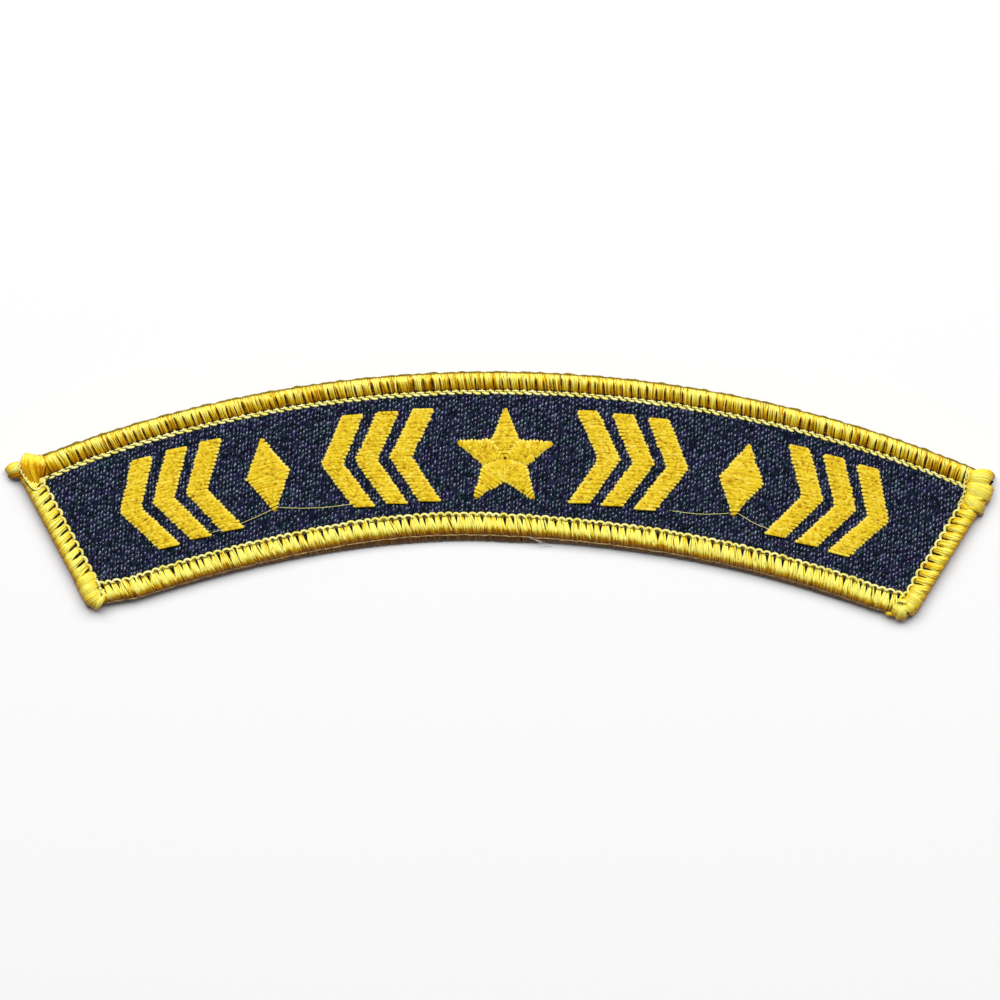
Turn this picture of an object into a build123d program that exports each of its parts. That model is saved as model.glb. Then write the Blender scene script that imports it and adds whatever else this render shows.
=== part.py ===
from build123d import *

# Curved rocker patch: a band of navy twill with a merrowed edge of yellow thread
# and a row of raised satin stitched ornaments. It lies face up.
# The band is laid out round the centre of its two arcs, with angles counted
# from the upright middle line. At the end every piece is moved by the same
# amount, so that the origin is the middle of the underside.
import os
from math import cos, degrees, radians, sin, sqrt

# The band, in millimetres and degrees
top_radius = 161.3  # outer edge of the long upper arc
patch_height = 21.9  # from the lower edge to the upper one
end_angle = 22.8  # from the middle line to the middle of each end
left_lean_angle = 28.8  # how far the left end leans out from upright
right_lean_angle = 31.3  # how far the right end leans out from upright

# The twill and the thread that goes round its edge
cloth_thickness = 1.0
edge_wrap = 0.75  # thread beyond the cloth's own edge
under_wrap = 0.45  # thread under the cloth
lip_wrap = 0.35  # thread over the cloth where the border ends
crest_height = 2.45  # the border's highest line above its underside
arc_border_width = 3.1
end_border_width = 3.4
clearance = 0.05  # between the cloth and the thread on it
run_gap = 0.12  # between two runs of border where they meet

# A border cut across, as shares of its width or its height
crest_share = 0.4  # where the crest is, from the outer edge
side_share = 0.45  # how high the outer edge is at its widest
shoulder_drop = 0.3  # share of the inner slope's fall that the first half takes

# The thread bunches up at each corner, where one run goes round and the next
# one starts. The radius and how far a bunch bulges past the arc and past the
# end are shares of the arc border's width.
corner_columns = ("side", "edge", "run", "beside", "radius", "arc_bulge", "end_bulge")
corner_rows = (
    ("left", "top", "border_top", "border_left", 0.71, 0.23, -0.10),
    ("left", "bottom", "border_left", "border_bottom", 0.60, -0.10, 0.08),
    ("right", "top", "border_right", "border_top", 0.65, 0.0, 0.03),
    ("right", "bottom", "border_right", "border_bottom", 0.62, -0.03, 0.14),
)
bunch_height = 2.6
bunch_edge = 0.8  # rounding of a bunch's rim
cloth_corner = 1.0  # rounding of the cloth's own corners

# The cut end of the edge thread, at the upper left corner
tail_length = 1.45  # past the bunch that it comes out of
tail_radius = 0.85
tail_drop = 8.0  # degrees below level
tail_height = 1.25  # its middle above the underside

# The satin stitched ornaments
stitch_height = 0.55
stitch_edge = 0.3  # rounding of the satin's upper edges
most_rounding = 0.8  # share of a height or a radius that a rounding may take
ornament_margin = 1.95  # cloth left free above and below the row
ornament_end_margin = 5.2  # cloth left free past each end of the row
ornament_lift = 0.2  # how far the row lies above the band's middle
stroke_width = 2.3
chevron_point = 3.4  # how far a chevron's point stands out
chevrons_in_group = 3
star_points = 5
star_ratio = 0.45  # inner radius as a share of the outer one
lozenge_width = 5.6
lozenge_inset = 1.2  # how much shorter than the row, above and below

# Between the middle and an end of the row, the cloth that no ornament covers
# is shared out between the gaps. The chevrons of a group get what is left.
star_gap_share = 0.165
point_gap_share = 0.225  # between a chevron's point and the lozenge
notch_gap_share = 0.165  # between the lozenge and the next chevrons

# What follows from the sizes above
bottom_radius = top_radius - patch_height
middle_radius = top_radius - patch_height / 2
cloth_bottom = under_wrap + clearance
cloth_top = cloth_bottom + cloth_thickness
ornament_floor = cloth_top + clearance
ornament_radius = middle_radius + ornament_lift
ornament_tall = patch_height - 2 * (arc_border_width + ornament_margin)
chevron_across = stroke_width * sqrt(1 + (2 * chevron_point / ornament_tall) ** 2)
chevron_length = chevron_across + chevron_point
star_turn = 180 / star_points  # between a point of the star and the notch beside it
star_radius = ornament_tall / (1 + cos(radians(star_turn)))
star_half = star_radius * sin(radians(2 * star_turn))
corners = [dict(zip(corner_columns, row)) for row in corner_rows]
outward = {"left": -1, "right": 1}
lean_angle = {"left": left_lean_angle, "right": right_lean_angle}


def on_arc(radius, angle):
    """A point at a radius and an angle from the upright middle line."""
    return Vector(radius * sin(radians(angle)), radius * cos(radians(angle)))


def end_frame(side):
    """The middle of an end's outer line, and the ways inward and upward from it."""
    way, tilt = outward[side], radians(lean_angle[side])
    middle = on_arc(middle_radius, way * end_angle)
    inward = Vector(-way * cos(tilt), sin(tilt))
    upward = Vector(way * sin(tilt), cos(tilt))
    return middle, inward, upward


def corner_point(side, inset, radius):
    """Where a line that lies inset from an end's outer line meets an arc."""
    middle, inward, upward = end_frame(side)
    start = middle + inward * inset
    along = start.dot(upward)
    return start + upward * (sqrt(along**2 - start.dot(start) + radius**2) - along)


def band_slab(floor, height, left=0, right=0, top=0, bottom=0, rounding=0):
    """A slab in the band's outline, drawn in by its own inset at each edge."""
    high, low = top_radius - top, bottom_radius + bottom
    high_left, low_left = corner_point("left", left, high), corner_point("left", left, low)
    high_right, low_right = corner_point("right", right, high), corner_point("right", right, low)
    with BuildPart() as slab:
        with BuildSketch(Plane.XY.offset(floor)) as outline:
            with BuildLine():
                ThreePointArc(high_left, (0, high), high_right)
                Line(high_right, low_right)
                ThreePointArc(low_right, (0, low), low_left)
                Line(low_left, high_left)
            make_face()
            if rounding:
                fillet(outline.vertices(), radius=rounding)
        extrude(amount=height)
    return slab.part


def ground_cloth():
    """The twill that everything is sewn to."""
    inset = edge_wrap
    return band_slab(
        cloth_bottom, cloth_thickness, inset, inset, inset, inset, rounding=cloth_corner
    )


def cloth_slot():
    """The space that the cloth takes inside the border, with its clearance."""
    inset = edge_wrap - clearance
    return band_slab(
        cloth_bottom - clearance, cloth_thickness + 2 * clearance, inset, inset, inset, inset
    )


def border_section(width):
    """A border cut across: x runs inward from its edge and y is up."""
    foot = edge_wrap
    crest = width * crest_share
    lip = cloth_top + clearance + lip_wrap
    shoulder = ((crest + width) / 2, crest_height - (crest_height - lip) * shoulder_drop)
    under_edge = under_wrap / 2
    with BuildSketch() as section:
        with BuildLine():
            ThreePointArc((foot, 0), (0, crest_height * side_share), (crest, crest_height))
            ThreePointArc((crest, crest_height), shoulder, (width, lip))
            Polyline((width, lip), (width, under_edge), (width - under_edge, 0), (foot, 0))
        make_face()
    return section.sketch


def arc_run(radius, inward):
    """Border along an arc, past both ends; inward is -1 on the upper arc and 1 on the lower."""
    past_end = end_angle + degrees(end_border_width / middle_radius)
    start = on_arc(1, past_end)
    section_plane = Plane(
        origin=start * radius,
        x_dir=start * inward,
        z_dir=(start * inward).cross(Vector(0, 0, 1)),
    )
    section = border_section(arc_border_width)
    with BuildPart() as run:
        with BuildSketch(section_plane):
            add(section)
        revolve(axis=Axis.Z, revolution_arc=2 * past_end)
    return run.part


def end_run(side):
    """Border along an end, past both arcs."""
    middle, inward, _ = end_frame(side)
    section_plane = Plane(origin=middle, x_dir=inward, z_dir=inward.cross(Vector(0, 0, 1)))
    section = border_section(end_border_width)
    with BuildPart() as run:
        with BuildSketch(section_plane):
            add(section)
        extrude(amount=patch_height, both=True)
    return run.part


def bunch_radius(corner):
    """The radius of the bunched thread at a corner."""
    return corner["radius"] * arc_border_width


def bunch_inset(corner, bulge):
    """How far a bunch's middle lies in from the edge that the named bulge passes."""
    return (corner["radius"] - corner[bulge]) * arc_border_width


def bunch_place(corner):
    """The middle of a corner's bunch of thread."""
    inset = bunch_inset(corner, "arc_bulge")
    radius = top_radius - inset if corner["edge"] == "top" else bottom_radius + inset
    return corner_point(corner["side"], bunch_inset(corner, "end_bulge"), radius)


def bunch(corner):
    """The thread bunched up where a run of border goes round a corner."""
    place = bunch_place(corner)
    with BuildPart() as knob:
        with BuildSketch():
            with Locations(place):
                Circle(bunch_radius(corner))
        extrude(amount=bunch_height)
        fillet(knob.edges().filter_by(GeomType.CIRCLE), radius=bunch_edge)
    return knob.part


def bunch_room(corner):
    """The space that the run beside a bunch leaves free for it."""
    place = bunch_place(corner)
    with BuildPart() as room:
        with BuildSketch():
            with Locations(place):
                Circle(bunch_radius(corner) + run_gap)
        extrude(amount=bunch_height)
    return room.part


def finished_run(name, plain_run, extra=(), **insets):
    """A run of border cut to length, with its bunches and with room for its neighbours."""
    uncut = dict.fromkeys(("left", "right", "top", "bottom"), -edge_wrap)
    limits = band_slab(-under_wrap, crest_height + 2 * under_wrap, **(uncut | insets))
    bunches = [bunch(corner) for corner in corners if corner["run"] == name]
    rooms = [bunch_room(corner) for corner in corners if corner["beside"] == name]
    slot = cloth_slot()
    with BuildPart() as run:
        add(plain_run)
        add(limits, mode=Mode.INTERSECT)
        add([*bunches, *extra])
        add([*rooms, slot], mode=Mode.SUBTRACT)
    return run.part


def thread_tail(corner):
    """The cut end of the edge thread, standing out of a corner's bunch."""
    place = bunch_place(corner)
    way = Vector(-cos(radians(tail_drop)), -sin(radians(tail_drop)))
    with BuildPart() as tail:
        with BuildSketch(Plane(origin=(place.X, place.Y, tail_height), z_dir=way)):
            Circle(tail_radius)
        extrude(amount=bunch_radius(corner) + tail_length)
        fillet(tail.faces().sort_by(Axis.X)[0].edges(), radius=tail_radius * most_rounding)
    return tail.part


def ornament_plane(along):
    """Where an ornament stands on the row's arc, along mm right of the middle line."""
    angle = degrees(along / ornament_radius)
    place = on_arc(ornament_radius, angle)
    return Plane(origin=(place.X, place.Y, ornament_floor), x_dir=(*on_arc(1, angle + 90),))


def satin(along, outline):
    """A raised ornament of satin stitches in the given closed outline."""
    with BuildPart() as ridge:
        with BuildSketch(ornament_plane(along)):
            with BuildLine():
                Polyline(*outline, close=True)
            make_face()
        extrude(amount=stitch_height)
        upper_edges = ridge.faces().sort_by(Axis.Z)[-1].edges()
        fillet(upper_edges, radius=min(stitch_edge, stitch_height * most_rounding))
    return ridge.part


def star_outline():
    """A five pointed star, as tall as the row and centred in it."""
    drop = star_radius - ornament_tall / 2
    radii = (star_radius, star_radius * star_ratio) * star_points
    points = [on_arc(radius, turn * star_turn) for turn, radius in enumerate(radii)]
    return [point - Vector(0, drop) for point in points]


def lozenge_outline():
    """A diamond a little shorter than the row."""
    across, up = lozenge_width / 2, ornament_tall / 2 - lozenge_inset
    return [(across, 0), (0, up), (-across, 0), (0, -up)]


def chevron_outline(way):
    """A chevron as tall as the row, its point to the right if way is 1."""
    back, front, up = -chevron_length / 2, chevron_length / 2, ornament_tall / 2
    notch, shoulder = back + chevron_point, front - chevron_point
    points = [(back, up), (shoulder, up), (front, 0), (shoulder, -up), (back, -up), (notch, 0)]
    return [(way * x, y) for x, y in points]


def row_places():
    """How far from the middle line the chevrons of one side and its lozenge stand."""
    end_room = end_border_width + ornament_end_margin
    row_half = ornament_radius * radians(end_angle) - end_room
    covered = star_half + lozenge_width + 2 * (chevrons_in_group * chevron_across + chevron_point)
    free = row_half - covered
    in_groups = 1 - star_gap_share - point_gap_share - notch_gap_share
    chevron_pitch = chevron_across + free * in_groups / (2 * (chevrons_in_group - 1))
    group_length = chevron_length + (chevrons_in_group - 1) * chevron_pitch
    inner_start = star_half + free * star_gap_share
    lozenge_start = inner_start + group_length + free * point_gap_share
    outer_start = lozenge_start + lozenge_width + free * notch_gap_share
    chevron_middles = [
        start + chevron_length / 2 + place * chevron_pitch
        for start in (inner_start, outer_start)
        for place in range(chevrons_in_group)
    ]
    return chevron_middles, lozenge_start + lozenge_width / 2


corner_at = {(corner["side"], corner["edge"]): corner for corner in corners}
past_end_border = end_border_width + run_gap

pieces = {
    "ground_cloth": ground_cloth(),
    "border_top": finished_run(
        "border_top",
        arc_run(top_radius, -1),
        extra=[thread_tail(corner_at["left", "top"])],
        left=bunch_inset(corner_at["left", "top"], "end_bulge"),
        right=past_end_border,
    ),
    "border_bottom": finished_run(
        "border_bottom",
        arc_run(bottom_radius, 1),
        left=past_end_border,
        right=past_end_border,
    ),
    "border_left": finished_run(
        "border_left",
        end_run("left"),
        top=arc_border_width + run_gap,
        bottom=bunch_inset(corner_at["left", "bottom"], "arc_bulge"),
    ),
    "border_right": finished_run(
        "border_right",
        end_run("right"),
        top=bunch_inset(corner_at["right", "top"], "arc_bulge"),
        bottom=bunch_inset(corner_at["right", "bottom"], "arc_bulge"),
    ),
    "star": satin(0, star_outline()),
}

chevron_places, lozenge_place = row_places()
for side, way in outward.items():
    pieces[f"lozenge_{side}"] = satin(way * lozenge_place, lozenge_outline())
    for number, place in enumerate(chevron_places, start=1):
        pieces[f"chevron_{side}_{number}"] = satin(way * place, chevron_outline(way))

# The origin goes to the middle of the underside
box = Compound(list(pieces.values())).bounding_box()
to_origin = Location((-box.center().X, -box.center().Y, -box.min.Z))
os.makedirs("parts", exist_ok=True)
for name, piece in pieces.items():
    moved = piece.moved(to_origin)
    moved.label = name
    export_step(moved, f"parts/{name}.step")
print("arcs' centre from the origin", -box.center(), "size", box.size)
print("ornaments at", [round(place, 2) for place in (*chevron_places, lozenge_place)])
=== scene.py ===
# Curved rocker patch: navy twill, a merrowed edge of yellow rayon thread and a
# row of satin stitched ornaments. It lies face up on a pale surface.
import random
from math import atan2, ceil, cos, degrees, pi, radians, sin, sqrt, tan

import bmesh
import bpy
import numpy as np
from mathutils import Matrix, Vector, noise


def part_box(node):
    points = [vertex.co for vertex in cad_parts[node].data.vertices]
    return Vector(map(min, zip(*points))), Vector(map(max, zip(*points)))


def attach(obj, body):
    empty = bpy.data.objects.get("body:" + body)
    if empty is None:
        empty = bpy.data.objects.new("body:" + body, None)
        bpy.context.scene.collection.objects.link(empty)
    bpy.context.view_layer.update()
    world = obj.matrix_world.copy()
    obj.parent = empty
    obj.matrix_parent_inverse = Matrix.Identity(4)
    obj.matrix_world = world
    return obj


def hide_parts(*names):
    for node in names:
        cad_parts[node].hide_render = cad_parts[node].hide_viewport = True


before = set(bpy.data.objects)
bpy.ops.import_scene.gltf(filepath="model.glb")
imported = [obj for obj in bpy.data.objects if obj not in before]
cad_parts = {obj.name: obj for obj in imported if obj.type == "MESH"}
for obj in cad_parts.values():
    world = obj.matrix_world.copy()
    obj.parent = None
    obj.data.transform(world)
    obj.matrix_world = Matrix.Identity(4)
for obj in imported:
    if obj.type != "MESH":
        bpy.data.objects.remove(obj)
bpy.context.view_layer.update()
mm = 0.001
rng = random.Random(7)
print("frame loaded")

# The band, as the construction has it, in millimetres and degrees
band = {
    "topRadius": 161.3,
    "height": 21.9,
    "endAngle": 22.8,
    "leftLean": 28.8,
    "rightLean": 31.3,
    "edgeWrap": 0.75,
    "clothLow": 0.5,
    "clothHigh": 1.5,
}
bottomRadius = band["topRadius"] - band["height"]
middleRadius = band["topRadius"] - band["height"] / 2
starLow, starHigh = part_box("star")
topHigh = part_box("border_top")[1]
arcCentre = Vector(((starLow[0] + starHigh[0]) / 2 / mm, topHigh[1] / mm - band["topRadius"]))


# Small helpers for places on the band, all in millimetres
def onArc(radius, angle):
    return arcCentre + Vector((radius * sin(radians(angle)), radius * cos(radians(angle))))


def endFrame(side):
    way = -1 if side == "left" else 1
    lean = radians(band["leftLean"] if side == "left" else band["rightLean"])
    middle = onArc(middleRadius, way * band["endAngle"])
    return middle, Vector((-way * cos(lean), sin(lean))), Vector((way * sin(lean), cos(lean)))


def leftOf(way):
    return Vector((-way.y, way.x))


def cornerPoint(side, inset, radius):
    middle, inward, upward = endFrame(side)
    start = middle + inward * inset - arcCentre
    along = start.dot(upward)
    # how far up the leaning line lies the place on an arc of that radius
    rise = -along + sqrt(along * along - start.length_squared + radius * radius)
    return arcCentre + start + upward * rise


# Small helpers for materials and meshes
def hexColour(text):
    channels = [int(text[i : i + 2], 16) / 255 for i in (1, 3, 5)]
    linear = [c / 12.92 if c <= 0.04045 else ((c + 0.055) / 1.055) ** 2.4 for c in channels]
    return (*linear, 1.0)


def addNode(tree, kind, links=(), **settings):
    # links are (own input, other node, its output)
    node = tree.nodes.new(kind)
    for key, value in settings.items():
        if key.startswith("in_"):
            node.inputs[int(key[3:])].default_value = value
        else:
            setattr(node, key, value)
    for ownInput, other, output in links:
        tree.links.new(other.outputs[output], node.inputs[ownInput])
    return node


def setRamp(node, stops):
    ramp = node.color_ramp
    while len(ramp.elements) > 2:
        ramp.elements.remove(ramp.elements[-1])
    for index, (place, colour) in enumerate(stops):
        element = ramp.elements[index] if index < 2 else ramp.elements.new(place)
        element.position = place
        element.color = hexColour(colour)
    return node


def newMaterial(name):
    material = bpy.data.materials.new(name)
    material.use_nodes = True
    tree = material.node_tree
    tree.nodes.clear()
    shader = addNode(tree, "ShaderNodeBsdfPrincipled")
    addNode(tree, "ShaderNodeOutputMaterial", [(0, shader, 0)])
    return material, tree, shader


def link(name, mesh, material):
    piece = bpy.data.objects.new(name, mesh)
    bpy.context.scene.collection.objects.link(piece)
    mesh.materials.clear()
    mesh.materials.append(material)
    return piece


def tapered(points, tip=0.1, middle=1.0):
    # Thickness factors of a strand with thin tips
    return [tip] + [middle] * (len(points) - 2) + [tip]


def countTriangles(mesh):
    return sum(len(p.vertices) - 2 for p in mesh.polygons)


def strandMesh(name, strands, radius, sides=1):
    # strands are (points in mm, thickness factors, tone); every strand becomes a closed tube
    curve = bpy.data.curves.new(name, "CURVE")
    curve.dimensions = "3D"
    curve.bevel_depth = radius * mm
    curve.bevel_resolution = sides
    for points, factors, _ in strands:
        spline = curve.splines.new("POLY")
        spline.points.add(len(points) - 1)
        flat = np.ones((len(points), 4))
        flat[:, :3] = np.asarray(points) * mm
        spline.points.foreach_set("co", flat.ravel())
        spline.points.foreach_set("radius", np.asarray(factors, dtype=float))
    holder = bpy.data.objects.new(name, curve)
    bpy.context.scene.collection.objects.link(holder)
    mesh = bpy.data.meshes.new_from_object(holder)
    bpy.data.objects.remove(holder)
    bpy.data.curves.remove(curve)
    # the points round a tube of that bevel resolution
    around = 4 + 2 * sides
    tones = np.repeat(np.concatenate([np.broadcast_to(s[2], len(s[0])) for s in strands]), around)
    mesh.attributes.new("tone", "FLOAT", "POINT").data.foreach_set("value", tones.astype(np.float32))
    # The first and the last ring of each strand close to a point
    mesh.materials.clear()
    bm = bmesh.new()
    bm.from_mesh(mesh)
    bm.verts.ensure_lookup_table()
    tips, first = [], 0
    for points, _, _ in strands:
        last = first + (len(points) - 1) * around
        tips += bm.verts[first : first + around] + bm.verts[last : last + around]
        first = last + around
    bmesh.ops.remove_doubles(bm, verts=tips, dist=0.012 * mm)
    bm.to_mesh(mesh)
    bm.free()
    return mesh


def joinMeshes(name, meshes):
    bm = bmesh.new()
    for mesh in meshes:
        bm.from_mesh(mesh)
        bpy.data.meshes.remove(mesh)
    joined = bpy.data.meshes.new(name)
    bm.to_mesh(joined)
    bm.free()
    joined.polygons.foreach_set("use_smooth", np.ones(len(joined.polygons), dtype=bool))
    return joined


def flattenMesh(mesh, level, share):
    # Presses a mesh towards the height level, in mm
    there = Matrix.Translation((0, 0, level * mm))
    mesh.transform(there @ Matrix.Diagonal((1, 1, share, 1)) @ there.inverted())


# Materials
plainLook = {
    # heights in mm between which a strand's painted shade fades, from deep amber low down to light
    # high up, and what height, tone and mottle add to the place on the ramp
    "zLow": 0.2,
    "zHigh": 1.2,
    "lift": 0.0,
    "strand": 0.5,
    "mottle": 0.6,
    "roughness": 0.5,
    "gloss": "#FFF6B8",
}
threadLook = {
    "border": {
        "ramp": (
            (0.0, "#4A2404"), (0.25, "#925206"), (0.5, "#D4980C"), (0.72, "#F0D42A"), (1.0, "#FAF27A"),
        ),
        "zHigh": 2.3,
        "lift": -0.3,
        "strand": 0.8,
        "mottle": 0.3,
        "gloss": "#FFE468",
    },
    "satin": {
        "ramp": ((0.0, "#7E5406"), (0.3, "#C4960C"), (0.6, "#DEB810"), (0.85, "#EACC22"), (1.0, "#F8DE62")),
        "zLow": 1.5,
        "zHigh": 1.9,
        "lift": -0.16,
        "strand": 0.35,
        "gloss": "#FFEC9A",
    },
    "loop": {
        "ramp": ((0.0, "#6E6010"), (0.3, "#C8BA3C"), (0.6, "#E8DC62"), (1.0, "#FAF4A8")),
        "zLow": 1.3,
        "zHigh": 1.75,
        "strand": 0.4,
        "mottle": 0.3,
    },
    "olive": {
        "ramp": ((0.0, "#2A2400"), (0.5, "#524602"), (1.0, "#8A7A0C")),
        "lift": -0.2,
        "roughness": 0.8,
    },
    "bare": {"ramp": ((0.0, "#A88878"), (0.5, "#DCC8BC"), (1.0, "#F8F2EE")), "gloss": "#FFFFFF"},
    "tan": {"ramp": ((0.0, "#6E5024"), (0.5, "#A07C44"), (1.0, "#D2B27C")), "lift": -0.3},
}


def mixedColour(tree, total, shares, stops):
    # Adds each source's share to the total and reads the colour there
    for source, output, amount in shares:
        links = [(0, source, output), (2, total, 0)]
        total = addNode(tree, "ShaderNodeMath", links, operation="MULTIPLY_ADD", in_1=amount)
    return setRamp(addNode(tree, "ShaderNodeValToRGB", [(0, total, 0)]), stops)


def threadMaterial(name, kind):
    # Rayon embroidery thread: silky, filaments all lie one way, so each strand
    # shines as a thin line. Painted shade: the lower a point lies, deep between the strands, the darker and
    # more amber its colour.
    look = plainLook | threadLook[kind]
    material, tree, shader = newMaterial(name)
    place = addNode(tree, "ShaderNodeTexCoord")
    height = addNode(tree, "ShaderNodeSeparateXYZ", [(0, place, "Object")])
    low, high = look["zLow"] * mm, look["zHigh"] * mm
    depth = addNode(tree, "ShaderNodeMapRange", [(0, height, 2)], in_1=low, in_2=high)
    tone = addNode(tree, "ShaderNodeAttribute", attribute_name="tone")
    # Dye and twist change every 0.4 mm or so
    mottle = addNode(tree, "ShaderNodeTexNoise", [(0, place, "Object")], in_2=2.5 / mm, in_3=2.0)
    settings = {"operation": "MULTIPLY_ADD", "in_1": 0.5, "in_2": look["lift"]}
    # painted shade: the place on the ramp falls with height, so low points come out darker and more amber
    paintedHeightShade = addNode(tree, "ShaderNodeMath", [(0, depth, 0)], **settings)
    shares = ((tone, "Fac", look["strand"]), (mottle, 0, look["mottle"]))
    colour = mixedColour(tree, paintedHeightShade, shares, look["ramp"])
    tree.links.new(colour.outputs[0], shader.inputs["Base Color"])
    shader.inputs["Roughness"].default_value = look["roughness"]
    shader.inputs["IOR"].default_value = 1.5
    shader.inputs["Specular Tint"].default_value = hexColour(look["gloss"])
    return material


borderThread = threadMaterial("rayon merrow thread", "border")
satinThread = threadMaterial("rayon satin thread", "satin")
loopThread = threadMaterial("rayon looper thread", "loop")
bareFibre = threadMaterial("undyed rayon fibre", "bare")
oliveThread = threadMaterial("rayon thread dark olive", "olive")
tanThread = threadMaterial("rayon thread faded tan", "tan")
print("thread materials made")

twillLook = {
    "ramp": ((0.0, "#0B0E1A"), (0.35, "#20283F"), (0.6, "#3E495F"), (0.8, "#566078"), (1.0, "#767E96")),
    "dyeTints": ((0.35, "#A0F0D0"), (0.5, "#FFFFFF"), (0.65, "#ECC0FF")),
    "glint": "#DADEF0",
    # roughness and specular level of the warp threads and of the sheet under them
    "warpShine": (0.3, 0.9),
    "sheetShine": (0.7, 0.05),
    # filament streaks: width and length in mm, lean from upright in degrees. Real filaments
    # are too fine to show, so each streak stands for several. Their lighter colour is partly the filaments'
    # own tone and partly painted sheen, dim glints between the real ones
    "streak": (0.11, 0.3, 18.0),
    "pitch": 0.43,
    "repeat": 0.64,
    "lean": 3.0,
    "warpRadius": 0.22,
    "flatten": 0.8,
    # place along a float and height over the cloth, from its low end over its crest
    "float": ((-0.29, -0.36), (-0.21, -0.05), (0.0, -0.11), (0.2, -0.16), (0.3, -0.28)),
    # sideways lean of a float, unevenness in height, and scatter along the thread
    "sway": 0.32,
    "uneven": 0.045,
    "scatter": 0.14,
    # how much denser the glints are in some places, and how wide and tall those places are
    "patchy": 1.6,
    "patch": (1.1, 1.6),
    "rows": (-36, 40),
    "inset": 2.95,
}


def twillMaterial(name, shine):
    # Polyester twill: fine filament warp, very dark navy, with small cold glints
    look = twillLook
    material, tree, shader = newMaterial(name)
    place = addNode(tree, "ShaderNodeTexCoord")
    tone = addNode(tree, "ShaderNodeAttribute", attribute_name="tone")
    mottle = addNode(tree, "ShaderNodeTexNoise", [(0, place, "Object")], in_2=1.6 / mm, in_3=2.0)
    wide, tall, lean = look["streak"]
    turn, stretch = (0.0, 0.0, -radians(lean)), (1.0, tall / wide, 1.0)
    settings = {"vector_type": "TEXTURE", "in_2": turn, "in_3": stretch}
    leaning = addNode(tree, "ShaderNodeMapping", [(0, place, "Object")], **settings)
    # lighter streaks in the base colour: partly the filaments' tone, partly painted sheen of the floats
    sheenStreaks = addNode(tree, "ShaderNodeTexNoise", [(0, leaning, 0)], in_2=0.5 / wide / mm, in_3=1.0)
    # steeper, and centred a little below the middle of the ramp
    settings = {"operation": "MULTIPLY_ADD", "in_1": 1.7, "in_2": -0.98}
    total = addNode(tree, "ShaderNodeMath", [(0, sheenStreaks, 0)], **settings)
    colour = mixedColour(tree, total, ((tone, "Fac", 0.5), (mottle, 0, 0.5)), look["ramp"])
    # The dye wanders between teal and violet over a millimetre or two
    dye = addNode(tree, "ShaderNodeTexNoise", [(0, place, "Object")], in_2=0.8 / mm, in_3=3.0)
    tint = setRamp(addNode(tree, "ShaderNodeValToRGB", [(0, dye, 0)]), look["dyeTints"])
    links = [(6, colour, 0), (7, tint, 0)]
    dyed = addNode(tree, "ShaderNodeMix", links, data_type="RGBA", blend_type="MULTIPLY", in_0=1.0)
    tree.links.new(dyed.outputs[2], shader.inputs["Base Color"])
    # Filaments run up the cloth, so the grain is drawn out that way, coarser than real ones
    along = addNode(tree, "ShaderNodeMapping", [(0, place, "Object")], in_3=(1.0, 0.3, 1.0))
    grain = addNode(tree, "ShaderNodeTexNoise", [(0, along, 0)], in_2=7.0 / mm, in_3=1.0)
    rough = addNode(tree, "ShaderNodeBump", [(3, grain, 0)], in_0=0.6, in_1=0.08 * mm)
    tree.links.new(rough.outputs[0], shader.inputs["Normal"])
    shader.inputs["Roughness"].default_value, shader.inputs["Specular IOR Level"].default_value = shine
    shader.inputs["IOR"].default_value = 1.6
    shader.inputs["Specular Tint"].default_value = hexColour(look["glint"])
    return material


warpFilament = twillMaterial("polyester warp filament", twillLook["warpShine"])
# The sheet has no tone, so it sits lower on the ramp than the warp: painted shade where it shows, between
# the floats and in the slits
weftCloth = twillMaterial("polyester twill ground", twillLook["sheetShine"])


runs = ("top", "right", "bottom", "left")


def perRun(*values):
    # One value for each run, in that order
    return dict(zip(runs, values))


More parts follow.
